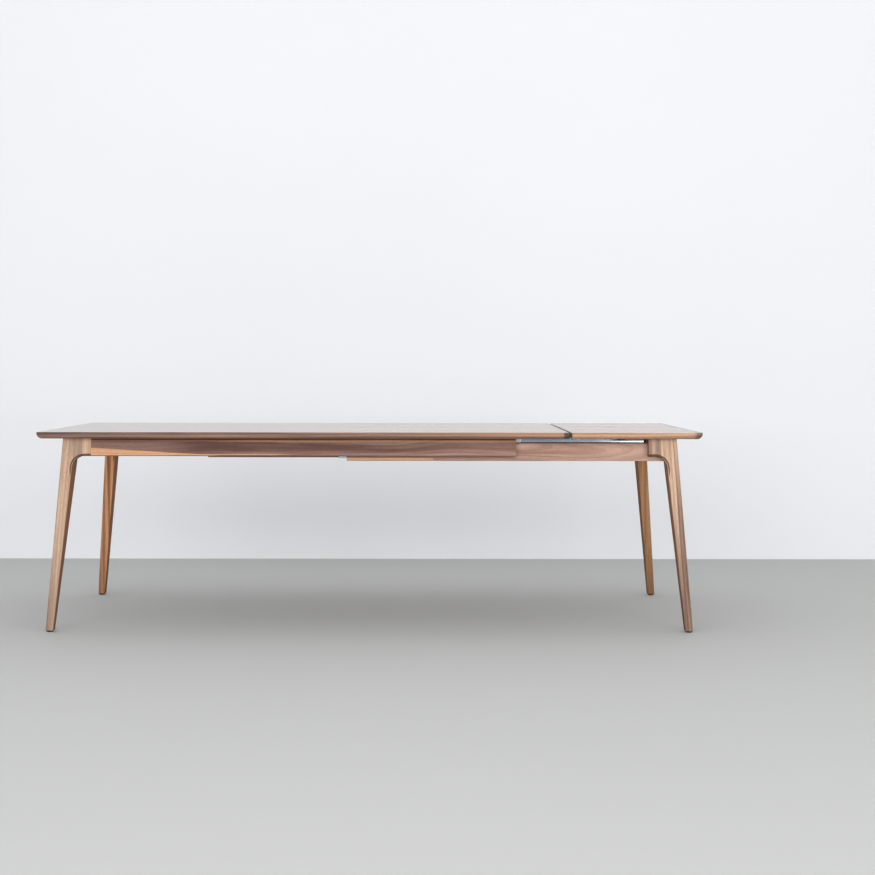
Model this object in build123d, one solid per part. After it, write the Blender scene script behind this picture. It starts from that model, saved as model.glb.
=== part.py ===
"""Extending dining table in oiled walnut: a pull-out frame under one end carries a loose leaf.

Millimetres, +Z up, +X along the table towards the leaf.  The origin is on the floor under
the middle of the table as it stands when pulled out.  Two local frames keep the corners
alike: "in" distances run inwards from the table's end (along X) or long side (along Y).
"""
import os
from build123d import *

# ------------------------------------------------------------------ driving sizes
table_height = 750
table_width = 900
main_length = 2000          # the fixed top
leaf_length = 490           # the loose leaf
leaf_gap = 10               # left between top and leaf at full pull-out
top_thickness = 25
top_corner = 8              # plan radius of the outer corners
top_bevel = 19              # round-over under the outer edges
top_arris = 1.2
seam_arris = 2              # round-over where top and leaf meet

end_inset_top = 90          # leg's outer face to the table's end, under the top
end_inset_foot = 35         # the same on the floor
side_inset_top = 43         # leg's outer face to the table's long side, under the top
side_inset_foot = 2        # the same on the floor
foot_size = 30
shoulder_x = 46             # leg's width along the table, at the apron's lower edge
shoulder_y = 80             # leg's depth across the table, at the apron's lower edge
ear_x = 107                 # length of the leg's ear along the apron
ear_y = 130                 # length of the leg's ear along the end rail
ear_thickness = 26
knee_radius = 45
leg_round = 5               # round-over on the leg's outer arrises
leg_inner_round = 6
foot_chamfer = 2.5

apron_height = 67
apron_round = 3.5
apron_thickness = 24        # at its upper edge
inner_rail_height = 70
inner_rail_drop = 19        # inner rail's lower edge below the apron's
inner_rail_thickness = 22
rail_arris = 2
rail_setback = 31           # from the slide bar's inner end to the inner rail's

guide_start = 630           # from the table's fixed end to the guides
guide_bottom = 8            # guide runner's lower edge below the apron's
bar_top_gap = 10            # slide bar's upper edge below the top
bar_thickness = 8
bar_end_in = 208            # slide bar's outer end to the leaf's end
runner_thickness = 30
groove_depth = 15
groove_height = 32
channel_wall = 2
lip_height = 5              # channel lips that hold the bar's flange
rib_height = 10
rib_depth = 8
flange_height = 22
flange_thickness = 4
shoe_length = 60
cap_length = 21             # guide cap, past the runner's end
cap_plate = 5
cap_front_gap = 4           # guide cap's lip behind the inner rail's front face
cap_round = 2

brace_width = 60
brace_thickness = 9         # the slide bars stand on it
brace_setback = 4           # brace's edge inside the inner rail's end
stop_length = 20
stop_height = 11
block_reach_x = 58          # corner block along the apron
block_reach_y = 140         # corner block along the end rail
block_nose = 30             # its blunt end beside the apron
block_tip = 16              # its blunt end at the end rail
bolt_radius = 3
bolt_head_radius = 5
bolt_head_height = 6
bolt_length = 62
washer_radius = 8
washer_thickness = 1.6
bolt_in = 12                # bolt axis from the corner block's apron face
bolt_heights = (20, 50)     # above the apron's lower edge

stiffener_margin = 400      # first and last stiffener from the main top's ends
stiffener_count = 3
stiffener_width = 32
stiffener_depth = 9
stiffener_wall = 3
stiffener_side_gap = 20     # stiffener's end to the guide runner
leaf_stiffener_half = 300
stiffener_screw_pitch = 220
leaf_dowel_radius = 5
leaf_dowel_out = 30
leaf_dowel_in = 30
leaf_dowel_pitch = 300
sleeve_wall = 1.7
sleeve_length = 34
frame_dowel_radius = 4
frame_dowel_half = 30
frame_dowel_heights = (17, 53)
pad_radius = 9
pad_thickness = 1.2
glide_radius = 12
glide_height = 4
stud_radius = 2.5
stud_length = 16
bracket_width = 30
bracket_leg = 32
bracket_gauge = 2
bracket_screw_radius = 1.8
bracket_screw_length = 14
screw_head_radius = 4
screw_head_height = 2.5
runner_screw_radius = 2.5
runner_screw_count = 5
runner_screw_head_radius = 5
runner_screw_head_height = 3
bar_screw_radius = 2
bar_screw_count = 5
bar_screw_margin = 5        # wood left in front of a slide bar's screw
rail_screw_in = 12          # rail screws from the ear's end
rail_screw_heights = (12, 40)
rail_screw_bite = 14        # into the ear
brace_screw_bite = 11       # into the slide bar
stiffener_screw_bite = 9    # into the top

# ------------------------------------------------------------------ clearances
slide_clearance = 1.5       # pull-out frame below the underside of the top
running_gap = 2             # inner rail behind the outer apron
runner_gap = 3              # guide runner behind the slide bar
closing_gap = 1             # ear to apron end when the table is closed
shoe_play = 0.3
fit_play = 0.3              # leaf dowels in their sleeves, and the leaf's last travel
seat_play = 0.15            # screws, dowels and inserts in their own bores
cap_play = 1
cap_end_gap = 2             # slide bar's end cap to the leg's ear
bore_reach = 1              # a bore's depth past the tip of what it takes

# ------------------------------------------------------------------ derived places
travel = leaf_length + leaf_gap
x_left = -(main_length + travel) / 2
x_seam = x_left + main_length
x_leaf = x_seam + leaf_gap
x_right = x_leaf + leaf_length
under_top = table_height - top_thickness
half_width = table_width / 2
apron_bottom = under_top - apron_height
frame_top = under_top - slide_clearance

ear_end_x = end_inset_top + ear_x
ear_end_y = side_inset_top + ear_y
ear_back_x = end_inset_top + ear_thickness
ear_back_y = side_inset_top + ear_thickness
apron_back = side_inset_top + apron_thickness
apron_start = x_left + ear_end_x
apron_end = x_right - ear_end_x - travel - closing_gap

rail_front = apron_back + running_gap
rail_back = rail_front + inner_rail_thickness
rail_bottom = apron_bottom - inner_rail_drop
rail_top = rail_bottom + inner_rail_height
bar_low = rail_bottom + brace_thickness
bar_high = under_top - bar_top_gap
bar_back = rail_back + bar_thickness
bar_start = x_left + guide_start + travel
bar_end = x_right - bar_end_in
rail_start = bar_start + rail_setback
slide_axis = (bar_low + bar_high) / 2

runner_front = bar_back + runner_gap
runner_back = runner_front + runner_thickness
runner_low = apron_bottom - guide_bottom
runner_start = x_left + guide_start
groove_back = runner_front + groove_depth
groove_low = slide_axis - groove_height / 2
groove_high = slide_axis + groove_height / 2
flange_front = bar_back + rib_depth
flange_back = flange_front + flange_thickness
block_end_x = ear_back_x + block_reach_x
foot_middle_x = end_inset_foot + foot_size / 2
foot_middle_y = side_inset_foot + foot_size / 2
brace_start = rail_start + brace_setback
brace_end = brace_start + brace_width


# ------------------------------------------------------------------ shapes and frames
def block(x0, x1, y0, y1, z0, z1):
    """A block between two opposite corners."""
    return Pos((x0 + x1) / 2, (y0 + y1) / 2, (z0 + z1) / 2) * Box(x1 - x0, y1 - y0, z1 - z0)


def prism_x(points, x0, x1):
    """A (y, z) outline drawn out along X."""
    outline = Polyline(*[(x0, y, z) for y, z in points], close=True)
    return extrude(make_face(outline), amount=x1 - x0, dir=(1, 0, 0))


def prism_y(points, y0, y1):
    """An (x, z) outline drawn out along Y."""
    outline = Polyline(*[(x, y0, z) for x, z in points], close=True)
    return extrude(make_face(outline), amount=y1 - y0, dir=(0, 1, 0))


def prism_z(points, z0, z1):
    """An (x, y) outline drawn out along Z."""
    outline = Polyline(*[(x, y, z0) for x, y in points], close=True)
    return extrude(make_face(outline), amount=z1 - z0, dir=(0, 0, 1))


def rod(start, direction, length, radius):
    """A round bar from a start point along a direction."""
    place = Plane(origin=start, z_dir=direction)
    return place * Cylinder(radius, length, align=(Align.CENTER, Align.CENTER, Align.MIN))


def screw(start, direction, length, radius, head_radius=screw_head_radius, head_height=screw_head_height):
    """A screw whose head sits at the start point and whose shank follows the direction."""
    head = rod(start, direction, head_height, head_radius)
    return head + rod(start, direction, length, radius)


def screw_bore(start, direction, length, radius, head_radius=screw_head_radius, head_height=screw_head_height):
    """The stepped hole that takes such a screw."""
    return screw(start, direction, length + bore_reach, radius + seat_play, head_radius + seat_play, head_height + seat_play)


def nearest_edge(shape, axis, spot):
    """The edge along an axis whose middle is nearest to a spot."""
    return min(shape.edges().filter_by(axis), key=lambda edge: (edge.center() - Vector(*spot)).length)


def on_side(shape, side):
    """From the side frame (y inwards from the long side) to the table."""
    if side == "back":
        return Pos(0, half_width, 0) * mirror(shape, about=Plane.XZ)
    return Pos(0, -half_width, 0) * shape


def at_corner(shape, side, end):
    """From the corner frame (x and y inwards) to the table."""
    if end == "right":
        return on_side(Pos(x_right, 0, 0) * mirror(shape, about=Plane.YZ), side)
    return on_side(Pos(x_left, 0, 0) * shape, side)


def both_sides(shape):
    return Compound(children=[on_side(shape, side) for side in ("front", "back")])


def group(shapes):
    return Compound(children=[solid for shape in shapes for solid in shape.solids()])


def spaced(first, last, count):
    return [first + (last - first) * index / (count - 1) for index in range(count)]


nodes = {}


# ------------------------------------------------------------------ legs
def outer_x(z):
    return end_inset_foot + (end_inset_top - end_inset_foot) * z / under_top


def outer_y(z):
    return side_inset_foot + (side_inset_top - side_inset_foot) * z / under_top


def inner_x(z):
    foot = end_inset_foot + foot_size
    shoulder = outer_x(apron_bottom) + shoulder_x
    return foot + (shoulder - foot) * z / apron_bottom


def inner_y(z):
    foot = side_inset_foot + foot_size
    shoulder = outer_y(apron_bottom) + shoulder_y
    return foot + (shoulder - foot) * z / apron_bottom


def post_outline(outer, inner, top):
    return [(outer(top), top), (outer(glide_height), glide_height),
            (inner(glide_height), glide_height), (inner(top), top)]


def ear_outline(outer, inner, ear_end, top):
    """The knee seen square on: part of the post, the ear and the corner that gets the arc."""
    low = apron_bottom - 1.5 * knee_radius
    return [(outer(top), top), (outer(low), low), (inner(low), low),
            (inner(apron_bottom), apron_bottom), (ear_end, apron_bottom), (ear_end, top)]


def slab_outline(outer, ear_back, top):
    return [(outer(top), top), (outer(0), 0), (ear_back, 0), (ear_back, top)]


def leg_edges(leg, top):
    """The long arrises of the two outer faces, without the ends that meet other pieces."""
    def near(values, target):
        return all(abs(value - target) < 0.01 for value in values)

    chosen = []
    for edge in leg.edges():
        spots = [edge.position_at(share) for share in (0, 0.5, 1)]
        on_side_face = near([spot.Y - outer_y(spot.Z) for spot in spots], 0)
        on_end_face = near([spot.X - outer_x(spot.Z) for spot in spots], 0)
        level = [spot.Z for spot in spots]
        at_joint = near([spot.X for spot in spots], ear_end_x) or near([spot.Y for spot in spots], ear_end_y)
        if (on_side_face or on_end_face) and not (near(level, top) or near(level, glide_height) or at_joint):
            chosen.append(edge)
    return chosen


def make_leg(top):
    reach = max(ear_end_x, ear_end_y) + 1
    post = prism_y(post_outline(outer_x, inner_x, top), 0, reach)
    post &= prism_x(post_outline(outer_y, inner_y, top), 0, reach)
    knee_x = prism_y(ear_outline(outer_x, inner_x, ear_end_x, top), 0, reach)
    knee_x = fillet([nearest_edge(knee_x, Axis.Y, (inner_x(apron_bottom), reach / 2, apron_bottom))], knee_radius)
    knee_y = prism_x(ear_outline(outer_y, inner_y, ear_end_y, top), 0, reach)
    knee_y = fillet([nearest_edge(knee_y, Axis.X, (reach / 2, inner_y(apron_bottom), apron_bottom))], knee_radius)
    leg = post + (knee_x & prism_x(slab_outline(outer_y, ear_back_y, top), 0, reach))
    leg += knee_y & prism_y(slab_outline(outer_x, ear_back_x, top), 0, reach)
    leg = fillet(leg_edges(leg, top), leg_round)
    middle = (top + glide_height) / 2
    inner_edge = min(leg.edges(), key=lambda e: (e.center() - Vector(inner_x(middle), inner_y(middle), middle)).length)
    leg = fillet([inner_edge], leg_inner_round)
    sole = leg.faces().filter_by(Axis.Z).sort_by(Axis.Z)[0]
    leg = chamfer(sole.edges(), foot_chamfer)
    return leg - rod((foot_middle_x, foot_middle_y, 0), (0, 0, 1), glide_height + stud_length + bore_reach,
                     stud_radius + seat_play)


def make_glide():
    return (rod((foot_middle_x, foot_middle_y, 0), (0, 0, 1), glide_height, glide_radius)
            + rod((foot_middle_x, foot_middle_y, 0), (0, 0, 1), glide_height + stud_length, stud_radius))


def frame_dowels(end):
    """Dowels of one corner, from ear to apron (fixed end only) and from ear to end rail."""
    dowels = []
    for height in frame_dowel_heights:
        level = apron_bottom + height
        middle_y = (outer_y(level) + apron_back) / 2
        middle_x = (outer_x(level) + ear_back_x) / 2
        if end == "left":
            dowels.append(((ear_end_x - frame_dowel_half, middle_y, level), (1, 0, 0)))
        dowels.append(((middle_x, ear_end_y - frame_dowel_half, level), (0, 1, 0)))
    return dowels


def dowel_solids(end):
    return [rod(start, direction, 2 * frame_dowel_half, frame_dowel_radius)
            for start, direction in frame_dowels(end)]


def dowel_bores(end):
    bores = []
    for start, direction in frame_dowels(end):
        begin = Vector(*start) - bore_reach * Vector(*direction)
        length = 2 * frame_dowel_half + 2 * bore_reach
        bores.append(rod(begin, direction, length, frame_dowel_radius + seat_play))
    return bores


# ------------------------------------------------------------------ corner blocks and their bolts
def block_face(end):
    """How far in the corner block starts: on the ear, or on the inner rail behind it."""
    return ear_back_y if end == "left" else rail_back


def bolt_starts(end):
    """Where each bolt's washer bears, inside its counterbore."""
    seat = block_end_x - bolt_head_height - washer_thickness - cap_play
    return [(seat, block_face(end) + bolt_in, apron_bottom + height) for height in bolt_heights]


def make_corner_block(end, top):
    face = block_face(end)
    outline = [(ear_back_x, face), (block_end_x, face), (block_end_x, face + block_nose),
               (ear_back_x + block_tip, face + block_reach_y), (ear_back_x, face + block_reach_y)]
    shape = prism_z(outline, apron_bottom, top) - make_leg(top)
    for seat in bolt_starts(end):
        shape -= rod(seat, (1, 0, 0), block_reach_x, washer_radius + seat_play)
        shape -= rod(seat, (-1, 0, 0), bolt_length, bolt_radius + seat_play)
    return shape


def bolts(end):
    """Cap screws with washers; the head lies under the block's face."""
    made = []
    for x, y, z in bolt_starts(end):
        head = rod((x + washer_thickness, y, z), (1, 0, 0), bolt_head_height, bolt_head_radius)
        shank = rod((x + washer_thickness, y, z), (-1, 0, 0), bolt_length, bolt_radius)
        washer = rod((x, y, z), (1, 0, 0), washer_thickness, washer_radius)
        made.append(head + shank + washer)
    return made


def bolt_bores(end):
    return [rod(seat, (-1, 0, 0), bolt_length + bore_reach, bolt_radius + seat_play) for seat in bolt_starts(end)]


for end, top in (("left", under_top), ("right", frame_top)):
    leg = make_leg(top)
    for bore in dowel_bores(end) + bolt_bores(end):
        leg -= bore
    if end == "right":
        for height in rail_screw_heights:
            leg -= rod((ear_end_x - rail_screw_in, rail_back, apron_bottom + height), (0, -1, 0),
                       inner_rail_thickness + rail_screw_bite + bore_reach, bar_screw_radius + seat_play)
    for side in ("front", "back"):
        nodes[f"leg_{side}_{end}"] = at_corner(leg, side, end)
        nodes[f"glide_{side}_{end}"] = at_corner(make_glide(), side, end)
    sides = ("front", "back")
    nodes[f"corner_blocks_{end}"] = group([at_corner(make_corner_block(end, top), side, end) for side in sides])
    nodes[f"leg_bolts_{end}"] = group([at_corner(bolt, side, end) for bolt in bolts(end) for side in sides])
    nodes[f"frame_dowels_{end}"] = group([at_corner(dowel, side, end) for dowel in dowel_solids(end)
                                          for side in sides])


# ------------------------------------------------------------------ outer aprons and end rails
def make_apron():
    outline = [(outer_y(under_top), under_top), (outer_y(apron_bottom), apron_bottom),
               (apron_back, apron_bottom), (apron_back, under_top)]
    apron = prism_x(outline, apron_start, apron_end)
    middle = (apron_start + apron_end) / 2
    apron = fillet([nearest_edge(apron, Axis.X, (middle, outer_y(apron_bottom), apron_bottom))], apron_round)
    for bore in dowel_bores("left"):
        apron -= Pos(x_left, 0, 0) * bore
    return apron


def make_end_rail(end, top):
    outline = [(outer_x(top), top), (outer_x(apron_bottom), apron_bottom),
               (ear_back_x, apron_bottom), (ear_back_x, top)]
    rail = prism_y(outline, ear_end_y - half_width, half_width - ear_end_y)
    rail = fillet([nearest_edge(rail, Axis.Y, (outer_x(apron_bottom), 0, apron_bottom))], apron_round)
    place = Pos(x_left, 0, 0) if end == "left" else Pos(x_right, 0, 0)
    rail = place * (rail if end == "left" else mirror(rail, about=Plane.YZ))
    for bore in dowel_bores(end):
        for side in ("front", "back"):
            rail -= at_corner(bore, side, end)
    return rail


for side in ("front", "back"):
    nodes[f"apron_{side}"] = on_side(make_apron(), side)
for end, top in (("left", under_top), ("right", frame_top)):
    nodes[f"end_rail_{end}"] = make_end_rail(end, top)


# ------------------------------------------------------------------ pull-out rails and slide bars
bar_screw_length = bar_thickness + inner_rail_thickness - bar_screw_margin


def bar_screw_places():
    spread = spaced(rail_start + brace_width, bar_end - brace_width, bar_screw_count)
    return [(x, bar_back, bar_high - 3 * screw_head_radius) for x in spread]


def rail_screw_places():
    x = x_right - ear_end_x + rail_screw_in
    return [(x, rail_back, apron_bottom + height) for height in rail_screw_heights]


def make_inner_rail():
    outline = [(rail_start, rail_bottom), (x_right - inner_x(rail_bottom), rail_bottom),
               (x_right - inner_x(rail_top), rail_top), (rail_start, rail_top)]
    rail = prism_y(outline, rail_front, rail_back)
    long_edges = [nearest_edge(rail, Axis.X, (rail_start, y, z))
                  for y in (rail_front, rail_back) for z in (rail_bottom, rail_top)]
    rail = fillet(long_edges, rail_arris)
    for place in bar_screw_places():
        rail -= screw_bore(place, (0, -1, 0), bar_screw_length, bar_screw_radius)
    for place in rail_screw_places():
        rail -= rod(place, (0, -1, 0), inner_rail_thickness, bar_screw_radius + seat_play)
    return rail


def make_slide_bar():
    """Flat bar with a T rib: the rib's flange runs in the guide channel."""
    bar = block(bar_start, bar_end, rail_back, bar_back, bar_low, bar_high)
    bar += block(bar_start, bar_end, bar_back, flange_front, slide_axis - rib_height / 2, slide_axis + rib_height / 2)
    bar += block(bar_start, bar_end, flange_front, flange_back,
                 slide_axis - flange_height / 2, slide_axis + flange_height / 2)
    for place in bar_screw_places():
        bar -= screw_bore(place, (0, -1, 0), bar_thickness, bar_screw_radius)
    for x, y in brace_screw_places():
        bar -= rod((x, y, rail_bottom), (0, 0, 1), brace_thickness + brace_screw_bite + bore_reach,
                   bar_screw_radius + seat_play)
    return bar


def brace_screw_places():
    return [(brace_start + brace_width * share, (rail_back + bar_back) / 2) for share in (0.25, 0.75)]


def make_bar_cap():
    """Moulded plug over the slide bar's outer end, up to the leg's ear."""
    cap = block(bar_end, x_right - ear_end_x - cap_end_gap, rail_back, bar_back, bar_low, bar_high)
    return fillet(cap.edges().filter_by(Axis.Y), rail_arris)


def shoe(start):
    """Nylon shoe that wraps the flange inside the channel."""
    play = shoe_play
    body = block(start, start + shoe_length, runner_front + channel_wall + play, groove_back - channel_wall - play,
                 groove_low + channel_wall + play, groove_high - channel_wall - play)
    body -= block(start - 1, start + shoe_length + 1, flange_front - play, flange_back + play,
                  slide_axis - flange_height / 2 - play, slide_axis + flange_height / 2 + play)
    return body - block(start - 1, start + shoe_length + 1, runner_front, flange_front,
                        slide_axis - rib_height / 2 - play, slide_axis + rib_height / 2 + play)


for side in ("front", "back"):
    nodes[f"inner_rail_{side}"] = on_side(make_inner_rail(), side)
    nodes[f"slide_bar_{side}"] = on_side(make_slide_bar(), side)
nodes["bar_end_caps"] = both_sides(make_bar_cap())
nodes["tail_shoes"] = both_sides(shoe(bar_start + channel_wall))
nodes["slide_bar_screws"] = group([both_sides(screw(place, (0, -1, 0), bar_screw_length, bar_screw_radius))
                                   for place in bar_screw_places()])
nodes["rail_screws"] = group([both_sides(
    screw(place, (0, 1, 0), screw_head_height, bar_screw_radius)
    + rod(place, (0, -1, 0), inner_rail_thickness + rail_screw_bite, bar_screw_radius)) for place in rail_screw_places()])

# Cross brace that keeps the two slide bars parallel, under the guides.
brace = block(brace_start, brace_end, rail_back - half_width, half_width - rail_back,
              rail_bottom, rail_bottom + brace_thickness)
brace_screw_solids = []
for x, y in brace_screw_places():
    for table_y in (y - half_width, half_width - y):
        start = (x, table_y, rail_bottom)
        brace -= screw_bore(start, (0, 0, 1), brace_thickness, bar_screw_radius)
        brace_screw_solids.append(screw(start, (0, 0, 1), brace_thickness + brace_screw_bite, bar_screw_radius))
nodes["rear_brace"] = brace
nodes["brace_screws"] = group(brace_screw_solids)


# ------------------------------------------------------------------ guides under the main top
def runner_screw_places():
    spread = spaced(runner_start + shoe_length, apron_end - shoe_length, runner_screw_count)
    return [(x, (groove_back + runner_back) / 2, runner_low) for x in spread]


runner_screw_length = apron_height + guide_bottom + top_thickness / 2


def make_runner():
    runner = block(runner_start, apron_end, runner_front, runner_back, runner_low, under_top)
    runner -= block(runner_start, apron_end, runner_front, groove_back, groove_low, groove_high)
    for place in runner_screw_places():
        runner -= screw_bore(place, (0, 0, 1), runner_screw_length, runner_screw_radius,
                             runner_screw_head_radius, runner_screw_head_height)
    return runner


def make_channel():
    """Aluminium C lining of the runner's groove."""
    channel = block(runner_start, apron_end, runner_front, groove_back, groove_low, groove_high)
    channel -= block(runner_start, apron_end, runner_front + channel_wall, groove_back - channel_wall,
                     groove_low + channel_wall, groove_high - channel_wall)
    mouth = (groove_low + channel_wall + lip_height, groove_high - channel_wall - lip_height)
    return channel - block(runner_start, apron_end, runner_front, runner_front + channel_wall, *mouth)


def make_guide_cap():
    """Closes the runner's end and reaches over the slide bar to the inner rail."""
    plate = block(apron_end, apron_end + cap_plate, runner_front, runner_back, runner_low, under_top)
    plate -= block(apron_end, apron_end + cap_plate, runner_front, flange_back + cap_play,
                   slide_axis - flange_height / 2 - cap_play, slide_axis + flange_height / 2 + cap_play)
    lip_front = rail_front + cap_front_gap
    hood = block(apron_end, apron_end + cap_length, lip_front, runner_back, bar_high + cap_play, under_top)
    lip = block(apron_end, apron_end + cap_length, lip_front, rail_back - shoe_play,
                rail_top + cap_play, bar_high + cap_play)
    cap = plate + hood + lip
    corner = nearest_edge(cap, Axis.Y, (apron_end + cap_length, (lip_front + rail_back) / 2, rail_top + cap_play))
    return fillet([corner], cap_round)


stop_start = brace_end + shoe_play
stop = block(stop_start, stop_start + stop_length, runner_front + runner_gap, runner_back - runner_gap,
             runner_low - stop_height, runner_low)
for side in ("front", "back"):
    nodes[f"guide_runner_{side}"] = on_side(make_runner(), side)
    nodes[f"guide_channel_{side}"] = on_side(make_channel(), side)
nodes["guide_caps"] = both_sides(make_guide_cap())
nodes["mouth_shoes"] = both_sides(shoe(apron_end - shoe_length - channel_wall))
nodes["stop_blocks"] = both_sides(stop)
nodes["runner_screws"] = group([both_sides(screw(
    place, (0, 0, 1), runner_screw_length, runner_screw_radius, runner_screw_head_radius, runner_screw_head_height))
    for place in runner_screw_places()])


# ------------------------------------------------------------------ brackets that hold the fixed rails up
def make_bracket():
    """Steel angle, drawn with its upright along X, at the origin of its corner."""
    upright = block(-bracket_width / 2, bracket_width / 2, 0, bracket_gauge, -bracket_leg, 0)
    return upright + block(-bracket_width / 2, bracket_width / 2, 0, bracket_leg, -bracket_gauge, 0)


def bracket_places():
    """Angles on the aprons left of the guides, and two on the fixed end rail."""
    places = []
    for x in (x_left + ear_end_x + 4 * bracket_width, runner_start - 2 * bracket_width):
        places.append(Pos(x, apron_back - half_width, under_top))
        places.append(Pos(x, half_width - apron_back, under_top) * Rot(0, 0, 180))
    for y in (-half_width / 4, half_width / 4):
        places.append(Pos(x_left + ear_back_x, y, under_top) * Rot(0, 0, -90))
    return places


def bracket_screws(play=0.0):
    """One screw up into the top and one into the rail, for a bracket at the origin."""
    middle = (bracket_leg + bracket_gauge) / 2
    radius = bracket_screw_radius + play
    reach = bracket_screw_length + play
    head = screw_head_radius + play
    return [screw((0, middle, -bracket_gauge - screw_head_height), (0, 0, 1),
                  screw_head_height + bracket_gauge + reach, radius, head),
            screw((0, bracket_gauge + screw_head_height, -middle), (0, -1, 0),
                  screw_head_height + bracket_gauge + reach, radius, head)]


bracket = make_bracket()
for bore in bracket_screws(seat_play):
    bracket -= bore
nodes["top_brackets"] = group([place * bracket for place in bracket_places()])
nodes["bracket_screws"] = group([place * one for place in bracket_places() for one in bracket_screws()])
for place in bracket_places():
    for bore in bracket_screws(seat_play):
        for name in ("apron_front", "apron_back", "end_rail_left"):
            nodes[name] -= place * bore


# ------------------------------------------------------------------ main top and leaf
def slab_with_edge(length, outer_end):
    """A top whose three outer edges are rounded under; the seam end is nearly square."""
    seam = -outer_end * length / 2
    slab = block(-length / 2, length / 2, -half_width, half_width, under_top, table_height)
    corners = [edge for edge in slab.edges().filter_by(Axis.Z) if edge.center().X * outer_end > 0]
    slab = fillet(corners, top_corner)
    under = [edge for edge in slab.edges()
             if abs(edge.center().Z - under_top) < 0.01 and abs(edge.center().X - seam) > 0.01]
    slab = fillet(under, top_bevel)
    end_face = min(slab.faces(), key=lambda face: abs(face.center().X - seam) + abs(face.normal_at().X ** 2 - 1))
    slab = fillet([edge for edge in end_face.edges()], seam_arris)
    over = [edge for edge in slab.edges()
            if all(abs(edge.position_at(share).Z - table_height) < 0.01 for share in (0, 0.5, 1))
            and abs(edge.center().X - seam) > 3 * seam_arris]
    return fillet(over, top_arris)


def make_stiffener(half_length):
    """Steel channel let into the underside, open downwards, at X = 0."""
    outer = block(-stiffener_width / 2, stiffener_width / 2, -half_length, half_length,
                  under_top, under_top + stiffener_depth)
    return outer - block(-stiffener_width / 2 + stiffener_wall, stiffener_width / 2 - stiffener_wall,
                         -half_length, half_length, under_top, under_top + stiffener_depth - stiffener_wall)


def stiffener_groove(half_length):
    play = seat_play
    return block(-stiffener_width / 2 - play, stiffener_width / 2 + play, -half_length - play, half_length + play,
                 under_top, under_top + stiffener_depth)


def stiffener_screws(play=0.0):
    level = under_top + stiffener_depth - stiffener_wall - screw_head_height
    length = screw_head_height + stiffener_wall + stiffener_screw_bite + play
    return [screw((0, y, level), (0, 0, 1), length, bar_screw_radius + play, screw_head_radius + play)
            for y in (-stiffener_screw_pitch, 0, stiffener_screw_pitch)]


def with_bores(shape, bores):
    for bore in bores:
        shape -= bore
    return shape


stiffener_half = half_width - runner_back - stiffener_side_gap
stiffener_places = spaced(x_left + stiffener_margin, x_seam - stiffener_margin, stiffener_count)
dowel_level = (under_top + table_height) / 2
dowel_rows = (-leaf_dowel_pitch, 0, leaf_dowel_pitch)
sleeve_inner = leaf_dowel_radius + fit_play
sleeve_outer = sleeve_inner + sleeve_wall

main_top = Pos((x_left + x_seam) / 2, 0, 0) * slab_with_edge(main_length, -1)
for x in stiffener_places:
    main_top -= Pos(x, 0, 0) * stiffener_groove(stiffener_half)
    main_top = with_bores(main_top, [Pos(x, 0, 0) * bore for bore in stiffener_screws(seat_play)])
for y in dowel_rows:
    main_top -= rod((x_seam, y, dowel_level), (-1, 0, 0), sleeve_length, sleeve_outer + seat_play)
for place in runner_screw_places():
    main_top -= both_sides(rod(place, (0, 0, 1), runner_screw_length + bore_reach, runner_screw_radius + seat_play))
for place in bracket_places():
    main_top -= place * bracket_screws(seat_play)[0]
nodes["main_top"] = main_top
sleeve = rod((x_seam, 0, dowel_level), (-1, 0, 0), sleeve_length, sleeve_outer)
sleeve -= rod((x_seam, 0, dowel_level), (-1, 0, 0), sleeve_length, sleeve_inner)
nodes["dowel_sleeves"] = group([Pos(0, y, 0) * sleeve for y in dowel_rows])
nodes["top_stiffeners"] = group([Pos(x, 0, 0) * with_bores(make_stiffener(stiffener_half), stiffener_screws(seat_play))
                                 for x in stiffener_places])
nodes["stiffener_screws"] = group([Pos(x, 0, 0) * one for x in stiffener_places for one in stiffener_screws()])

leaf_middle = (x_leaf + x_right) / 2
leaf = Pos(leaf_middle, 0, 0) * slab_with_edge(leaf_length, 1)
leaf -= Pos(leaf_middle, 0, 0) * stiffener_groove(leaf_stiffener_half)
leaf = with_bores(leaf, [Pos(leaf_middle, 0, 0) * bore for bore in stiffener_screws(seat_play)])
for y in dowel_rows:
    leaf -= rod((x_leaf, y, dowel_level), (1, 0, 0), leaf_dowel_in + bore_reach, leaf_dowel_radius + seat_play)
nodes["extension_leaf"] = leaf
nodes["leaf_dowels"] = group([rod((x_leaf - leaf_dowel_out, y, dowel_level), (1, 0, 0),
                                  leaf_dowel_out + leaf_dowel_in, leaf_dowel_radius) for y in dowel_rows])
nodes["leaf_stiffener"] = Pos(leaf_middle, 0, 0) * with_bores(make_stiffener(leaf_stiffener_half),
                                                              stiffener_screws(seat_play))
nodes["leaf_stiffener_screws"] = group([Pos(leaf_middle, 0, 0) * one for one in stiffener_screws()])

# Felt pads that the leaf rests on, on the moving ears and end rail.
pad_spots = [at_corner(rod((ear_end_x - 2 * pad_radius, (outer_y(frame_top) + ear_back_y) / 2, frame_top), (0, 0, 1),
                           pad_thickness, pad_radius), side, "right") for side in ("front", "back")]
pad_spots += [rod((x_right - (outer_x(frame_top) + ear_back_x) / 2, y, frame_top), (0, 0, 1),
                  pad_thickness, pad_radius) for y in (-half_width / 4, half_width / 4)]
nodes["support_pads"] = group(pad_spots)

# ------------------------------------------------------------------ files
os.makedirs("parts", exist_ok=True)
for name, shape in nodes.items():
    export_step(shape, f"parts/{name}.step")
print(len(nodes), "nodes; pull-out travel", travel, "mm; leaf travel to the top", leaf_gap - fit_play, "mm")
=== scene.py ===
import math

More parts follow.
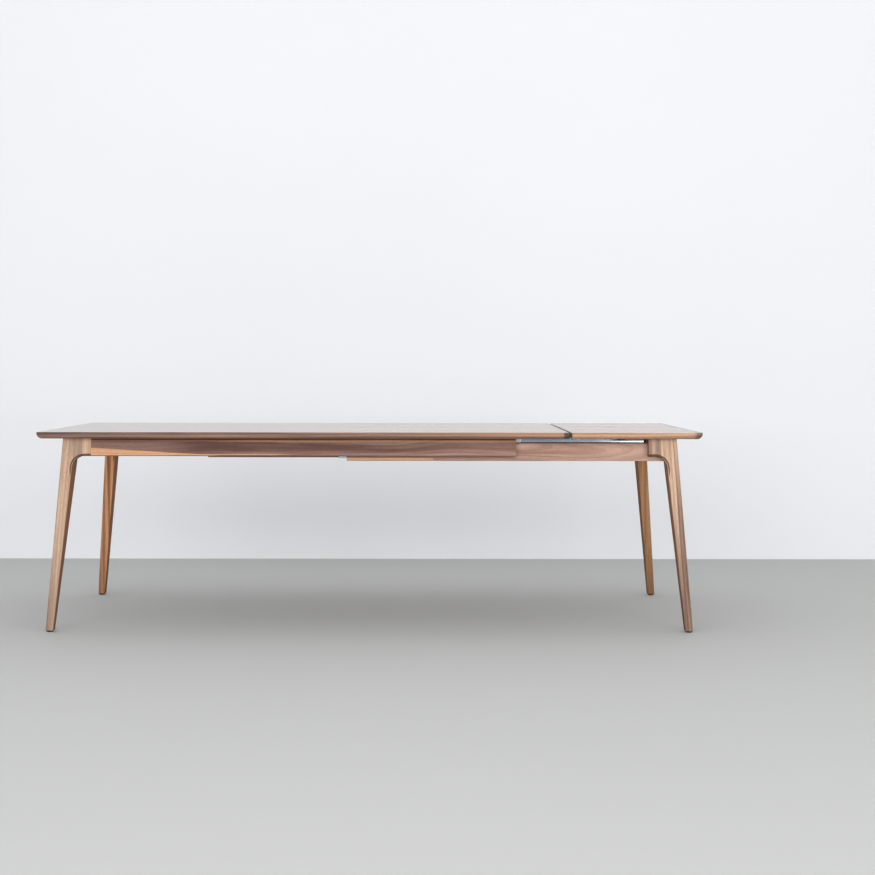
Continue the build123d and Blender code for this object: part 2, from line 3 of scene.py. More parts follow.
import bmesh
import bpy
from mathutils import Euler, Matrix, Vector

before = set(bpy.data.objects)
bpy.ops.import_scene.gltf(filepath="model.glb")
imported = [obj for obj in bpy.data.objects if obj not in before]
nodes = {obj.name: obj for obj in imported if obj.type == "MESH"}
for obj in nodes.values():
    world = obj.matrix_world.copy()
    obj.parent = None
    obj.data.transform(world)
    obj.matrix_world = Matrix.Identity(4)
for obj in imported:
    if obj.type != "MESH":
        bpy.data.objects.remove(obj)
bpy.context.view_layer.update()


# ---- Legs -----------------------------------------------------------------------------------
# Four splayed walnut legs. Each is a tapering post with two knee blocks glued to its head, cut to
# one arc that flows into the rails. The grain runs down the leg, every leg is from another board,
# and the finish is oil, rubbed in and left nearly matt.

def tone(red, green, blue):
    """A colour swatch of 0 to 255 a channel, as the linear colour that a shader takes."""
    shares = [value / 255 for value in (red, green, blue)]
    return tuple(s / 12.92 if s <= 0.04045 else ((s + 0.055) / 1.055) ** 2.4 for s in shares) + (1.0,)


def swatches(*colours):
    """Several swatches at once."""
    return [tone(*colour) for colour in colours]


def add(tree, kind, wires=None, **settings):
    """A shader node. Settings are its properties; wires are its inputs, each a value or a socket."""
    made = tree.nodes.new("ShaderNode" + kind)
    for key, value in settings.items():
        setattr(made, key, value)
    for key, value in (wires or {}).items():
        if isinstance(value, bpy.types.NodeSocket):
            tree.links.new(value, made.inputs[key])
        else:
            made.inputs[key].default_value = value
    return made


def new_finish(name):
    """An empty node material, the tree to build it in, and the piece's own coordinates."""
    finish = bpy.data.materials.new(name)
    finish.use_nodes = True
    tree = finish.node_tree
    tree.nodes.clear()
    return finish, tree, add(tree, "TexCoord").outputs["Object"]


def placed(tree, source, move=(0, 0, 0), turn=(0, 0, 0), stretch=(1, 1, 1)):
    """Coordinates scaled, then turned, then moved."""
    wires = {"Vector": source, "Location": move, "Rotation": turn, "Scale": stretch}
    return add(tree, "Mapping", wires).outputs[0]


def mottle(tree, source, stretch, detail=2.0, rough=0.5):
    """Soft noise between 0 and 1 over stretched coordinates."""
    spots = placed(tree, source, stretch=stretch)
    wires = {"Vector": spots, "Scale": 1.0, "Detail": detail, "Roughness": rough}
    return add(tree, "TexNoise", wires).outputs[0]


def sums(tree, operation, *values):
    """One step of arithmetic on values or sockets."""
    return add(tree, "Math", dict(enumerate(values)), operation=operation).outputs[0]


def scaled(tree, value, share, start=0.0):
    """A value times a share, from a start."""
    return sums(tree, "MULTIPLY_ADD", value, share, start)


def graded(tree, source, low, high, bottom=0.0, top=1.0):
    """A value stretched so that low becomes bottom and high becomes top, with soft ends."""
    wires = {"Value": source, "From Min": low, "From Max": high, "To Min": bottom, "To Max": top}
    return add(tree, "MapRange", wires, interpolation_type="SMOOTHSTEP").outputs[0]


def tints(tree, source, stops):
    """A colour ramp over a value, from (place, colour) pairs."""
    made = add(tree, "ValToRGB", {"Fac": source})
    points = made.color_ramp.elements
    while len(points) < len(stops):
        points.new(0.5)
    for point, (place, colour) in zip(points, stops):
        point.position = place
        point.color = colour
    return made.outputs[0]


def blend(tree, share, first, second, mode="MIX"):
    """Two colours mixed by a share."""
    made = add(tree, "Mix", data_type="RGBA", blend_type=mode)
    for key, value in ((0, share), (6, first), (7, second)):
        if isinstance(value, bpy.types.NodeSocket):
            tree.links.new(value, made.inputs[key])
        else:
            made.inputs[key].default_value = value
    return made.outputs[2]


def shaded(tree, colour, shade):
    """A colour made lighter or darker by a value near 1."""
    grey = add(tree, "CombineColor", {0: shade, 1: shade, 2: shade}).outputs[0]
    return blend(tree, 1.0, colour, grey, "MULTIPLY")


def raised(tree, height, strength, depth):
    """A bump from a height between 0 and 1, depth metres deep."""
    return add(tree, "Bump", {"Height": height, "Strength": strength, "Distance": depth}).outputs[0]


def coated(finish, colour, rough, bump, others=None):
    """A finish closed with its shader, which takes any other inputs by name."""
    tree = finish.node_tree
    wires = {"Base Color": colour, "Roughness": rough, "Normal": bump}
    shader = add(tree, "BsdfPrincipled", {**wires, **(others or {})})
    add(tree, "OutputMaterial", {"Surface": shader.outputs[0]})
    return finish


def outward(tree):
    """The way a face looks."""
    return add(tree, "TexCoord").outputs["Normal"]


def dress(piece, finish):
    """Gives a whole piece one finish."""
    for slot in piece.material_slots:
        slot.material = finish


def streak(tree, spot, colour, wood, along, up, tilt=0.0, soft=0.003, fade=0.0, share=0.8):
    """A streak of other wood, between two places along X and two heights.

    tilt leans it in the rail's face, soft is how far its edges blur, and fade how far its ends do.
    """
    leaned = placed(tree, spot, turn=(0, tilt, 0))
    axes = add(tree, "SeparateXYZ", {0: leaned}).outputs
    for value, ends, blur in ((axes[0], along, max(soft, fade)), (axes[2], up, soft)):
        rise = graded(tree, value, ends[0] - blur, ends[0] + blur)
        fall = graded(tree, value, ends[1] - blur, ends[1] + blur, 1.0, 0.0)
        share = sums(tree, "MULTIPLY", share, sums(tree, "MULTIPLY", rise, fall))
    return blend(tree, share, colour, wood)


band_width = 0.019            # metres across one light or dark band of the wood
ring_width = 0.0046           # one year's ring
fibre_width = 0.0024
pore_width = 0.0007
tone_places = (0.43, 0.50, 0.555, 0.61, 0.68)
end_grain_shade = 0.55
stave_shift = 17.0            # metres that one stave's figure may lie from the next one's


def walnut(name, tones, turn=(0, 0, 0), move=(0, 0, 0), heart=(0.07, -0.10), staves=0.0,
           wander=0.02, shine=0.5, gloss=0.5, lacquer=0.0, paint=None):
    """Oiled walnut. The grain runs along X of the piece's own coordinates, turned and moved.

    tones are five colours, from the darkest heartwood to the palest. The rings lie round a heart
    beside the stick, and wander is how far they stray. staves is the width of the boards that a
    panel is glued from. shine is the roughness, gloss how much the oil mirrors, and lacquer how
    much of a satin coat lies on it. paint adds streaks.
    """
    finish, tree, spot = new_finish(name)
    stick = placed(tree, spot, move=move, turn=turn)
    shade = 1.0
    if staves:
        along, across, up = add(tree, "SeparateXYZ", {0: stick}).outputs
        number = sums(tree, "FLOOR", sums(tree, "DIVIDE", across, staves))
        draw = add(tree, "TexWhiteNoise", {"W": number}, noise_dimensions="1D").outputs["Color"]
        lots = add(tree, "SeparateColor", {0: draw}).outputs
        edge = sums(tree, "SUBTRACT", across, sums(tree, "MULTIPLY", number, staves))
        middle = sums(tree, "SUBTRACT", edge, staves / 2)
        local = sums(tree, "ADD", middle, scaled(tree, lots[2], 0.1, -0.05))
        shift = sums(tree, "ADD", along, sums(tree, "MULTIPLY", lots[0], stave_shift))
        depth = sums(tree, "ADD", up, scaled(tree, lots[1], 0.07, -0.02))
        stick = add(tree, "CombineXYZ", {0: shift, 1: local, 2: depth}).outputs[0]
        shade = scaled(tree, lots[1], 0.22, 0.89)
        glue = sums(tree, "MINIMUM", edge, sums(tree, "SUBTRACT", staves, edge))
        shade = sums(tree, "MULTIPLY", shade, graded(tree, glue, 0.0001, 0.0006, 0.72, 1.0))
    wide = placed(tree, stick, stretch=(1.5, 4.0, 4.0))
    drift = add(tree, "TexNoise", {"Vector": wide, "Scale": 1.0, "Detail": 1.5}).outputs[1]
    lean = add(tree, "VectorMath", {0: drift, 1: (0.5, 0.5, 0.5)}, operation="SUBTRACT").outputs[0]
    reach = (0.0, 2 * wander, 2 * wander)
    lean = add(tree, "VectorMath", {0: lean, 1: reach}, operation="MULTIPLY").outputs[0]
    board = add(tree, "VectorMath", {0: stick, 1: lean}, operation="ADD").outputs[0]
    radial = placed(tree, board, move=(0, -heart[0], -heart[1]), stretch=(0, 1, 1))
    radius = add(tree, "VectorMath", {0: radial}, operation="LENGTH").outputs["Value"]
    length = add(tree, "SeparateXYZ", {0: board}).outputs[0]
    layer = scaled(tree, radius, 1 / band_width)
    layers = add(tree, "CombineXYZ", {0: scaled(tree, length, 0.7), 1: layer}).outputs[0]
    band = mottle(tree, layers, (1, 1, 1), detail=4.0, rough=0.68)
    broad = mottle(tree, board, (0.5, 9.0, 9.0), detail=1.0)
    value = sums(tree, "ADD", scaled(tree, band, 0.74), scaled(tree, broad, 0.36))
    colour = tints(tree, value, list(zip(tone_places, tones)))
    if paint:
        colour = paint(tree, spot, colour)
    turns = sums(tree, "ADD", scaled(tree, radius, 1 / ring_width), scaled(tree, broad, 1.6))
    ring = graded(tree, sums(tree, "FRACT", turns), 0.35, 1.0)
    fibre = mottle(tree, board, (11, 1 / fibre_width, 1 / fibre_width), detail=3.0, rough=0.6)
    pore = mottle(tree, stick, (60, 1 / pore_width, 1 / pore_width), detail=0.0)
    pores = graded(tree, pore, 0.64, 0.76)
    shade = sums(tree, "MULTIPLY", shade, scaled(tree, fibre, 0.40, 0.80))
    shade = sums(tree, "MULTIPLY", shade, scaled(tree, ring, -0.16, 1.05))
    shade = sums(tree, "MULTIPLY", shade, scaled(tree, pores, -0.36, 1.0))
    faced = add(tree, "SeparateXYZ", {0: placed(tree, outward(tree), turn=turn)}).outputs
    end_grain = sums(tree, "ABSOLUTE", faced[0])
    shade = sums(tree, "MULTIPLY", shade, graded(tree, end_grain, 0.25, 0.8, 1.0, end_grain_shade))
    rough = sums(tree, "ADD", scaled(tree, fibre, 0.14, shine - 0.07), scaled(tree, pores, 0.2))
    height = sums(tree, "SUBTRACT", scaled(tree, fibre, 0.4), pores)
    bump = raised(tree, height, 0.22, 0.00012)
    polish = {"IOR": 1.45, "Specular IOR Level": gloss, "Coat Weight": lacquer, "Coat Roughness": 0.12}
    return coated(finish, shaded(tree, colour, shade), rough, bump, polish)


leg_foot = Vector((1.2, 0.433, 0.0))               # middle of the right back foot
leg_rise = Vector((-0.055, -0.041, 0.725))         # from there to the leg's head
knee_heights = (0.6, 1.0)
leg_tones = swatches((108, 84, 74), (146, 117, 101), (175, 145, 123), (193, 163, 139), (215, 187, 161))
shade_tones = swatches((130, 86, 59), (165, 115, 80), (194, 139, 99), (210, 156, 113), (228, 175, 130))
inner_face_shade = tone(132, 84, 54)
arc_shade_and_end_wood = tone(84, 55, 38)
purple_wood = tone(140, 116, 105)
pale_wood = tone(186, 153, 127)
orange_wood = tone(178, 142, 112)
arc_radius = 0.045
arc_x = 1.078                 # the arc's middle, from the table's middle
arc_z = 0.613
arris_width = 0.0095
arris_blur = 0.001
far_leg_shade = 0.58          # painted shade: the right back leg is made much darker


def leg_paint(end, side):
    """The streaks of one leg, and painted shade on the face towards the middle of the table.

    The arris along the knee's arc is rounded over, and a band of painted shade darkens it. The leg is also
    painted darker towards the foot, as shade.
    """
    inward = (1.0, 0.0, 0.0) if end == "left" else (-1.0, 0.0, 0.0)

    def paint(tree, spot, colour):
        if side == "front" and end == "left":
            colour = streak(tree, spot, colour, orange_wood, (-1.175, -1.157), knee_heights, share=0.5)
            colour = streak(tree, spot, colour, purple_wood, (-1.122, -1.088), knee_heights, share=0.75)
            colour = streak(tree, spot, colour, pale_wood, (-1.085, -1.05), knee_heights, share=0.65)
        elif side == "front":
            colour = streak(tree, spot, colour, purple_wood, (1.045, 1.101), knee_heights, share=0.7)
            colour = streak(tree, spot, colour, pale_wood, (1.066, 1.078), knee_heights, soft=0.002)
            colour = streak(tree, spot, colour, orange_wood, (1.108, 1.131), knee_heights, share=0.5)
        # Painted shade on the faces that look towards the middle of the table.
        wires = {0: outward(tree), 1: inward}
        facing = add(tree, "VectorMath", wires, operation="DOT_PRODUCT").outputs["Value"]
        colour = blend(tree, graded(tree, facing, 0.5, 0.8, 0.0, 0.85), colour, inner_face_shade)
        # A band of painted shade along the rounded arris of the knee's arc.
        axes = add(tree, "SeparateXYZ", {0: spot}).outputs
        out = sums(tree, "SUBTRACT", sums(tree, "ABSOLUTE", axes[0]), arc_x)
        beside = sums(tree, "POWER", sums(tree, "MAXIMUM", out, 0.0), 2.0)
        above = sums(tree, "POWER", sums(tree, "MAXIMUM", sums(tree, "SUBTRACT", axes[2], arc_z), 0.0), 2.0)
        reach = sums(tree, "POWER", sums(tree, "ADD", beside, above), 0.5)
        band_end = arc_radius + arris_width
        band = graded(tree, reach, band_end - arris_blur, band_end + arris_blur, 0.88, 0.0)
        band = sums(tree, "MULTIPLY", band, graded(tree, axes[2], 0.57, 0.60))
        band = sums(tree, "MULTIPLY", band, graded(tree, facing, 0.2, 0.5, 1.0, 0.0))
        colour = blend(tree, band, colour, arc_shade_and_end_wood)
        # Painted shade: each leg grows darker towards the foot.
        return shaded(tree, colour, graded(tree, axes[2], -0.1, 0.62, 0.54, 1.0))
    return paint


leg_places = (("left", "front"), ("right", "front"), ("left", "back"), ("right", "back"))
for index, (end, side) in enumerate(leg_places):
    mirrored = Vector((-1 if end == "left" else 1, -1 if side == "front" else 1, 1))
    rise = leg_rise * mirrored
    turn = (math.atan2(rise.y, rise.z), math.atan2(math.hypot(rise.y, rise.z), rise.x), 0)
    seat = Euler(turn).to_matrix() @ (leg_foot * mirrored)
    move = (1.9 * index - seat.x, -seat.y, -seat.z)
    # The back legs take their own darker, warmer tones: painted shade, for legs that stand under the top.
    tones = leg_tones if side == "front" else shade_tones
    if (end, side) == ("right", "back"):
        tones = [tuple(far_leg_shade * part for part in tint[:3]) + (1.0,) for tint in tones]
    heart = (0.16, 0.3 - 0.55 * (index % 2))
    finish = walnut(f"leg_walnut_{side}_{end}", tones, turn=turn, move=move, heart=heart,
                    wander=0.006, shine=0.78, gloss=0.25, paint=leg_paint(end, side))
    dress(nodes[f"leg_{side}_{end}"], finish)


# ---- Aprons and end rails --------------------------------------------------------------------
# Walnut rails a hand's width high, dowelled and glued into the knee blocks. Each is sawn flat from
# its own board, and the front apron keeps a wedge of pale sapwood along its lower edge.

apron_tones = swatches((86, 59, 51), (108, 79, 69), (127, 96, 84), (143, 110, 97), (166, 129, 111))
strip_wood = tone(160, 114, 82)
sap_wood = tone(208, 156, 114)
lower_arris_shade = tone(98, 64, 42)
shadow_wood = tone(58, 40, 31)
apron_end_x = -1.053
sap_slope = 0.058             # the sapwood wedge runs out downwards
sap_height = 0.688


def apron_paint(tree, spot, colour):
    """A pale strip along the top edge, a painted shadow under the top's overhang, the sapwood wedge at the
    left, and painted shade on the arris below.
    """
    colour = streak(tree, spot, colour, strip_wood, along=(-0.55, 0.9), up=(0.7115, 0.7185), soft=0.0012,
                    fade=0.12)
    colour = streak(tree, spot, colour, strip_wood, along=(-1.1, -0.5), up=(0.7135, 0.7185), soft=0.001,
                    fade=0.1, share=0.35)
    # Painted shadow of the top's overhang along the apron's top edge.
    colour = streak(tree, spot, colour, shadow_wood, along=(-1.1, 0.6), up=(0.7195, 0.73), soft=0.001)
    colour = streak(tree, spot, colour, apron_tones[3], along=(-1.3, -0.72), up=(0.67, 0.712), soft=0.01,
                    fade=0.12, share=0.6)
    wedge_top = sap_height + sap_slope * apron_end_x
    colour = streak(tree, spot, colour, sap_wood, along=(-1.1, -0.6), up=(0.2, wedge_top), tilt=-sap_slope,
                    soft=0.0016)
    colour = streak(tree, spot, colour, sap_wood, along=(-0.68, -0.32), up=(0.6625, 0.6660), soft=0.0008,
                    fade=0.06, share=0.7)
    # Painted shade on the rounded arris along the bottom edge.
    return streak(tree, spot, colour, lower_arris_shade, along=(-1.1, 0.6), up=(0.6, 0.6612), soft=0.0008)


for index, side in enumerate(("front", "back")):
    finish = walnut(f"apron_walnut_{side}", apron_tones, move=(5.3 * index, 0.40, -0.67), heart=(0.35, 0.12),
                    wander=0.012, shine=0.55, paint=apron_paint)
    dress(nodes[f"apron_{side}"], finish)
for index, end in enumerate(("left", "right")):
    finish = walnut(f"end_rail_walnut_{end}", apron_tones, turn=(0, 0, math.pi / 2),
                    move=(3.1 * index, 1.15, -0.67), heart=(0.3, 0.15), wander=0.014, shine=0.55)
    dress(nodes[f"end_rail_{end}"], finish)


# ---- Guide runners ---------------------------------------------------------------------------
# Straight walnut battens under the main top, just inside the aprons. They carry the aluminium
# channels, and each ends in a white nylon cap where the pull-out frame comes out.

rail_tones = swatches((102, 74, 61), (125, 94, 79), (145, 112, 96), (161, 127, 110), (184, 150, 132))
for index, side in enumerate(("front", "back")):
    finish = walnut(f"runner_walnut_{side}", rail_tones, move=(7.7 + 2.9 * index, 0.34, -0.69),
                    heart=(0.2, 0.3), wander=0.01, shine=0.6)
    dress(nodes[f"guide_runner_{side}"], finish)


def nylon(name, deep, pale, rough):
    """Moulded nylon, a little clouded, with the fine grain of the mould."""
    finish, tree, spot = new_finish(name)
    cloud = mottle(tree, spot, (45, 45, 45), detail=3.0)
    grain = mottle(tree, spot, (1900, 1900, 1900), detail=1.0)
    colour = tints(tree, cloud, ((0.35, deep), (0.65, pale)))
    bump = raised(tree, grain, 0.2, 0.00008)
    rough = sums(tree, "ADD", scaled(tree, cloud, 0.16, rough - 0.12), scaled(tree, grain, 0.08))
    return coated(finish, colour, rough, bump, {"IOR": 1.53})


white_nylon = nylon("white_nylon_moulded", tone(196, 199, 200), tone(222, 225, 226), 0.42)
black_nylon = nylon("black_nylon_moulded", tone(17, 17, 18), tone(31, 31, 33), 0.46)
for name in ("guide_caps", "mouth_shoes", "tail_shoes"):
    dress(nodes[name], white_nylon)


# ---- Aluminium channels and slide bars ---------------------------------------------------------
# Extruded aluminium, clear anodised. Die lines run the whole length, and the surface stays a soft
# satin. The channels are screwed to the runners; the bars slide in them and carry the inner rails.

def extrusion(name):
    """Anodised aluminium with die lines along X."""
    finish, tree, spot = new_finish(name)
    lines = mottle(tree, spot, (1.2, 2600, 2600), detail=2.0, rough=0.7)
    cloud = mottle(tree, spot, (6, 40, 40), detail=3.0)
    mixed = sums(tree, "ADD", scaled(tree, lines, 0.6), scaled(tree, cloud, 0.4))
    colour = tints(tree, mixed, ((0.35, tone(146, 159, 173)), (0.65, tone(182, 195, 208))))
    rough = sums(tree, "ADD", scaled(tree, lines, 0.06, 0.08), scaled(tree, cloud, 0.04))
    bump = raised(tree, lines, 0.12, 0.00004)
    return coated(finish, colour, rough, bump, {"Metallic": 1.0})


anodised = extrusion("anodised_aluminium")
for side in ("front", "back"):
    dress(nodes[f"guide_channel_{side}"], anodised)
    dress(nodes[f"slide_bar_{side}"], anodised)
dress(nodes["bar_end_caps"], black_nylon)


# ---- Inner rails and brace -----------------------------------------------------------------------
# The pull-out frame's own rails, of paler walnut with a livelier figure, and the beech brace that
# ties their inner ends. Black rubber blocks stop the frame at the end of its travel.

rail_shadow_wood = tone(104, 74, 58)


def rail_paint(tree, spot, colour):
    """Painted shadow along the top edge, under the top, and a thin line of sapwood low down at the inner
    end.
    """
    # Painted shadow of the top along the rail's upper edge.
    colour = streak(tree, spot, colour, rail_shadow_wood, along=(-0.2, 1.2), up=(0.7045, 0.72),
                    soft=0.0015, share=0.7)
    colour = streak(tree, spot, colour, rail_shadow_wood, along=(-0.2, 1.2), up=(0.694, 0.74),
                    soft=0.014, share=0.3)
    return streak(tree, spot, colour, sap_wood, along=(-0.1, 0.24), up=(0.6425, 0.6505),
                  soft=0.0016, share=0.75)


for index, side in enumerate(("front", "back")):
    finish = walnut(f"inner_rail_walnut_{side}", rail_tones, move=(1.7 + 4.4 * index, 0.37, -0.67),
                    heart=(0.055, 0.03), wander=0.03, shine=0.56, paint=rail_paint)
    dress(nodes[f"inner_rail_{side}"], finish)


def pale_beech(name, turn=(0, 0, 0)):
    """Steamed beech: pinkish tan with short darker flecks along the grain."""
    finish, tree, spot = new_finish(name)
    stick = placed(tree, spot, turn=turn)
    cloud = mottle(tree, stick, (3, 60, 60), detail=3.0)
    fleck = mottle(tree, stick, (160, 1500, 700), detail=1.0)
    flecks = graded(tree, fleck, 0.60, 0.72)
    colour = tints(tree, cloud, ((0.35, tone(206, 166, 128)), (0.65, tone(226, 190, 152))))
    colour = blend(tree, scaled(tree, flecks, 0.55), colour, tone(168, 122, 86))
    rough = scaled(tree, flecks, 0.12, 0.52)
    bump = raised(tree, flecks, 0.2, 0.0001)
    return coated(finish, colour, rough, bump)


cross_beech = pale_beech("beech_across", turn=(0, 0, math.pi / 2))
dress(nodes["rear_brace"], cross_beech)


def moulded_rubber(name):
    """Black rubber with a grey bloom and a fine matt skin."""
    finish, tree, spot = new_finish(name)
    bloom = mottle(tree, spot, (120, 120, 120), detail=4.0)
    skin = mottle(tree, spot, (2500, 2500, 2500), detail=0.0)
    colour = tints(tree, bloom, ((0.40, tone(24, 24, 25)), (0.70, tone(52, 52, 53))))
    bump = raised(tree, skin, 0.35, 0.0001)
    rough = scaled(tree, bloom, 0.25, 0.62)
    return coated(finish, colour, rough, bump)


dress(nodes["stop_blocks"], moulded_rubber("stop_rubber"))


# ---- Corner blocks, dowels and bolts ---------------------------------------------------------------
# Beech blocks are glued and bolted behind each knee, and fluted beech dowels join the rails to the
# legs. All the iron is bright zinc-plated steel.

dress(nodes["corner_blocks_left"], cross_beech)
dress(nodes["corner_blocks_right"], cross_beech)
for name in ("frame_dowels_left", "frame_dowels_right", "leaf_dowels"):
    dress(nodes[name], pale_beech(f"{name}_beech"))


def zinc_plate(name):
    """Bright zinc plating: bluish, with faint straw-coloured patches and fine scuffs."""
    finish, tree, spot = new_finish(name)
    patch = mottle(tree, spot, (90, 90, 90), detail=3.0)
    scuff = mottle(tree, spot, (300, 2600, 1400), detail=2.0)
    blue, silver, straw = swatches((166, 172, 180), (196, 199, 202), (200, 193, 172))
    colour = tints(tree, patch, ((0.34, blue), (0.52, silver), (0.70, straw)))
    rough = sums(tree, "ADD", scaled(tree, patch, 0.16, 0.20), scaled(tree, scuff, 0.14))
    bump = raised(tree, scuff, 0.2, 0.00004)
    return coated(finish, colour, rough, bump, {"Metallic": 1.0})


zinc = zinc_plate("zinc_plated_steel")
for name in ("leg_bolts_left", "leg_bolts_right", "rail_screws", "brace_screws", "bracket_screws",
             "runner_screws", "slide_bar_screws", "stiffener_screws", "leaf_stiffener_screws",
             "top_brackets"):
    dress(nodes[name], zinc)


# ---- Main top --------------------------------------------------------------------------------------
# A solid walnut top, glued up from boards that run the length of the table, with its outer edges
# rounded under. Brass sleeves in the seam edge take the leaf's dowels.

top_tones = swatches((78, 53, 44), (102, 72, 60), (125, 91, 76), (144, 108, 89), (169, 129, 106))
board_width = 0.15
warm_edge_wood = tone(186, 140, 110)
board_heights = (0.7, 0.8)
seam_x = 0.75


def shade_facing_down(tree, colour, least):
    """Painted shade where a face looks down."""
    height = add(tree, "SeparateXYZ", {0: outward(tree)}).outputs[2]
    return shaded(tree, colour, graded(tree, height, -0.75, -0.15, least, 1.0))


def top_paint(tree, spot, colour):
    """Warmer wood towards the seam along the front edge, painted shade at the seam end, and painted shade
    where the round-over turns under.
    """
    axes = add(tree, "SeparateXYZ", {0: spot}).outputs
    front = graded(tree, axes[1], -0.449, -0.443, 1.0, 0.0)
    warm = graded(tree, axes[0], 0.0, 0.70, 0.0, 0.75)
    colour = blend(tree, sums(tree, "MULTIPLY", front, warm), colour, warm_edge_wood)
    # Painted shade at the seam end of the top.
    colour = streak(tree, spot, colour, shadow_wood, along=(seam_x - 0.02, seam_x + 0.01), up=board_heights,
                    soft=0.004, share=0.9)
    return shade_facing_down(tree, colour, 0.66)


board_finish = {"heart": (0.0, -0.07), "staves": board_width, "wander": 0.022, "shine": 0.42}
top_finish = walnut("top_walnut", top_tones, move=(0.2, 0.0, -0.7375), lacquer=0.86, paint=top_paint,
                    **board_finish)
dress(nodes["main_top"], top_finish)


def turned_brass(name):
    """Turned brass with fine rings of the tool and a little tarnish."""
    finish, tree, spot = new_finish(name)
    marks = mottle(tree, spot, (4000, 60, 60), detail=1.0)
    tarnish = mottle(tree, spot, (150, 150, 150), detail=4.0)
    colour = tints(tree, tarnish, ((0.40, tone(186, 152, 84)), (0.62, tone(220, 190, 118))))
    bump = raised(tree, marks, 0.25, 0.00005)
    rough = scaled(tree, tarnish, 0.3, 0.12)
    return coated(finish, colour, rough, bump, {"Metallic": 1.0})


dress(nodes["dowel_sleeves"], turned_brass("dowel_brass"))


def powder_coat(name):
    """Black powder coat with its orange-peel skin."""
    finish, tree, spot = new_finish(name)
    peel = mottle(tree, spot, (900, 900, 900), detail=1.0)
    dust = mottle(tree, spot, (30, 30, 30), detail=5.0)
    colour = tints(tree, dust, ((0.40, tone(24, 24, 25)), (0.68, tone(40, 40, 41))))
    bump = raised(tree, peel, 0.35, 0.0001)
    rough = scaled(tree, peel, 0.2, 0.38)
    return coated(finish, colour, rough, bump)


black_coat = powder_coat("black_powder_coat")
dress(nodes["top_stiffeners"], black_coat)


# ---- Leaf ------------------------------------------------------------------------------------------
# The extension leaf rests on the pull-out frame. It is walnut of the same build as the top, from
# paler boards, with beech dowels in its seam edge and one steel stiffener let in below.

leaf_tones = swatches((106, 73, 55), (132, 95, 73), (157, 116, 90), (176, 134, 105), (198, 156, 124))


def leaf_paint(tree, spot, colour):
    """The outer end is a little darker, and painted shade lies on the round-over below."""
    colour = streak(tree, spot, colour, arc_shade_and_end_wood, along=(1.224, 1.3), up=board_heights,
                    soft=0.012, share=0.85)
    return shade_facing_down(tree, colour, 0.88)


leaf_finish = walnut("leaf_walnut", leaf_tones, move=(4.3, 0.0, -0.7375), lacquer=0.78, paint=leaf_paint,
                     **board_finish)
dress(nodes["extension_leaf"], leaf_finish)
dress(nodes["leaf_stiffener"], black_coat)


# ---- Pads and glides -------------------------------------------------------------------------------
# Grey felt pads on the pull-out frame's right-hand knees, for the leaf to lie on, and black nylon
# glides nailed under the feet.

def pressed_felt(name):
    """Grey wool felt, with fibres crossing in every direction."""
    finish, tree, spot = new_finish(name)
    fibre = mottle(tree, spot, (700, 2600, 1800), detail=3.0, rough=0.7)
    askew = placed(tree, spot, turn=(0, 0, 1.1))
    cross = mottle(tree, askew, (600, 3000, 1800), detail=3.0, rough=0.7)
    wool = sums(tree, "MAXIMUM", fibre, cross)
    colour = tints(tree, wool, ((0.40, tone(58, 56, 54)), (0.72, tone(112, 109, 105))))
    bump = raised(tree, wool, 0.6, 0.0002)
    return coated(finish, colour, 0.95, bump, {"Sheen Weight": 0.35})


dress(nodes["support_pads"], pressed_felt("pad_felt"))
for side in ("front", "back"):
    for end in ("left", "right"):
        dress(nodes[f"glide_{side}_{end}"], black_nylon)


# ---- Floor and wall --------------------------------------------------------------------------------
# A plain grey studio floor and a pale wall close behind the table. Both are clear from their far
# sides, so that the table can be seen from behind and from below.

def sheet(name, corners, colour, rough):
    """One flat rectangle of the room, clear from behind."""
    mesh = bmesh.new()
    mesh.faces.new([mesh.verts.new(corner) for corner in corners])
    data = bpy.data.meshes.new(name)
    mesh.to_mesh(data)
    mesh.free()
    made = bpy.data.objects.new(name, data)
    bpy.context.scene.collection.objects.link(made)
    finish, tree, spot = new_finish(name)
    cloud = mottle(tree, spot, (0.8, 0.8, 0.8), detail=3.0)
    colour = shaded(tree, colour, scaled(tree, cloud, 0.03, 0.985))
    wires = {"Base Color": colour, "Roughness": rough, "Specular IOR Level": 0.25}
    shader = add(tree, "BsdfPrincipled", wires).outputs[0]
    clear = add(tree, "BsdfTransparent").outputs[0]
    behind = add(tree, "NewGeometry").outputs["Backfacing"]
    shader = add(tree, "MixShader", {0: behind, 1: shader, 2: clear}).outputs[0]
    add(tree, "OutputMaterial", {"Surface": shader})
    data.materials.append(finish)


wall_y = 1.58
wall_half = 12
wall_height = 7
floor_half = 30
sheet("floor", [(-floor_half, -floor_half, 0), (floor_half, -floor_half, 0),
                (floor_half, floor_half, 0), (-floor_half, floor_half, 0)], tone(178, 178, 176), 0.8)
sheet("wall", [(-wall_half, wall_y, 0), (wall_half, wall_y, 0),
               (wall_half, wall_y, wall_height), (-wall_half, wall_y, wall_height)],
      tone(224, 225, 227), 0.9)


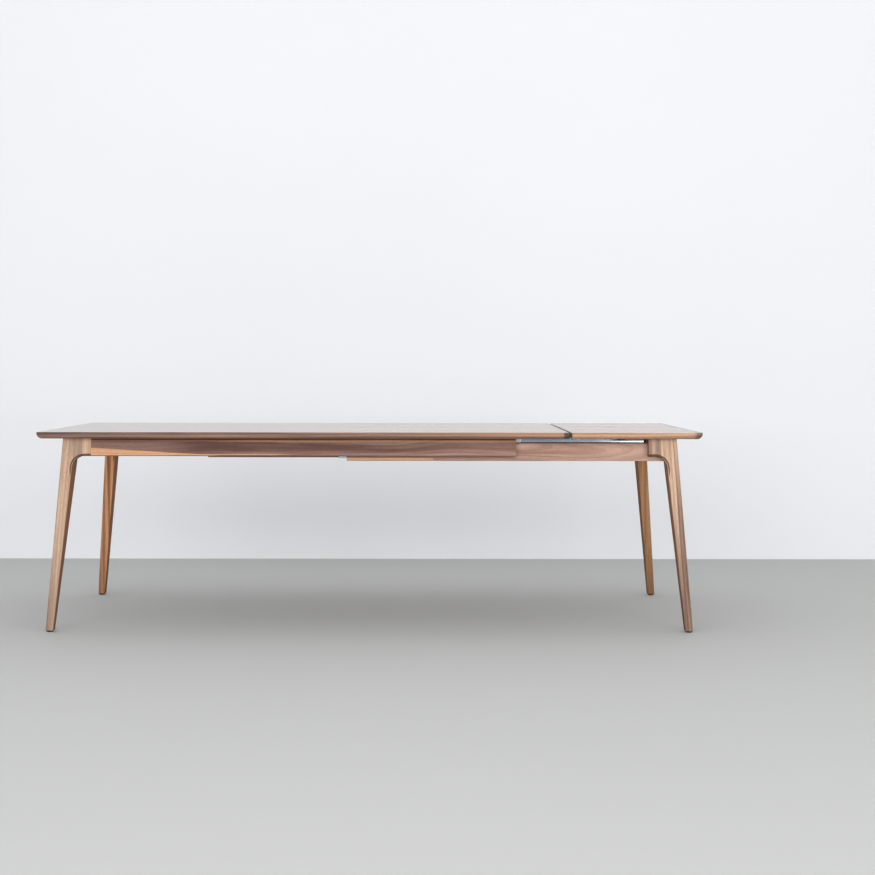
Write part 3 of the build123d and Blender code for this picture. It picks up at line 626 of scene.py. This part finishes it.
# ---- Light ------------------------------------------------------------------------------------------
# A large softbox overhead and two in front of the table. The room behind the camera is dim, and a
# low panel at the right gives the aluminium something bright to mirror.

world = bpy.data.worlds.new("room_light")
bpy.context.scene.world = world
world.use_nodes = True
sky = world.node_tree
way = add(sky, "SeparateXYZ", {0: add(sky, "TexCoord").outputs["Generated"]}).outputs
dim, bright = swatches((120, 122, 126), (240, 241, 243))
glow = tints(sky, scaled(sky, way[1], 0.5, 0.5), ((0.0, dim), (0.75, bright)))
sky.links.new(glow, sky.nodes["Background"].inputs["Color"])
sky.nodes["Background"].inputs["Strength"].default_value = 1.8


def softbox(name, place, aim, width, height, power, mirrored=True):
    """A rectangular lamp, turned to face a point, and mirrored in what shines or not."""
    light = bpy.data.lights.new(name, "AREA")
    light.shape = "RECTANGLE"
    light.size = width
    light.size_y = height
    light.energy = power
    made = bpy.data.objects.new(name, light)
    bpy.context.scene.collection.objects.link(made)
    made.location = place
    made.rotation_euler = (Vector(aim) - Vector(place)).to_track_quat("-Z", "Y").to_euler()
    made.visible_camera = False
    made.visible_glossy = mirrored


softbox("overhead", (0.0, -3.0, 4.6), (0, -0.4, 0.4), 7.5, 3.6, 24)
softbox("front", (-2.3, -9.5, 3.0), (0, 0, 0.7), 8.0, 4.6, 530, mirrored=False)
softbox("side", (4.8, -9.0, 2.5), (0.8, 0, 0.7), 5.5, 4.4, 320, mirrored=False)
softbox("low panel", (3.15, -6.6, 0.5), (0.9, -0.35, 0.7), 2.6, 0.9, 30)


# ---- Camera ------------------------------------------------------------------------------------------
# A long lens at waist height, held level, with the frame shifted down to the table.

lens = bpy.data.cameras.new("camera")
lens.sensor_width = 36
lens.lens = 57.53
lens.shift_x = 0.02095
lens.shift_y = -0.0793
camera = bpy.data.objects.new("camera", lens)
bpy.context.scene.collection.objects.link(camera)
camera.location = (0.186, -5.689, 0.9913)
camera.rotation_euler = (math.pi / 2, math.radians(-0.06), 0)
bpy.context.scene.camera = camera
bpy.context.scene.view_settings.view_transform = "Standard"
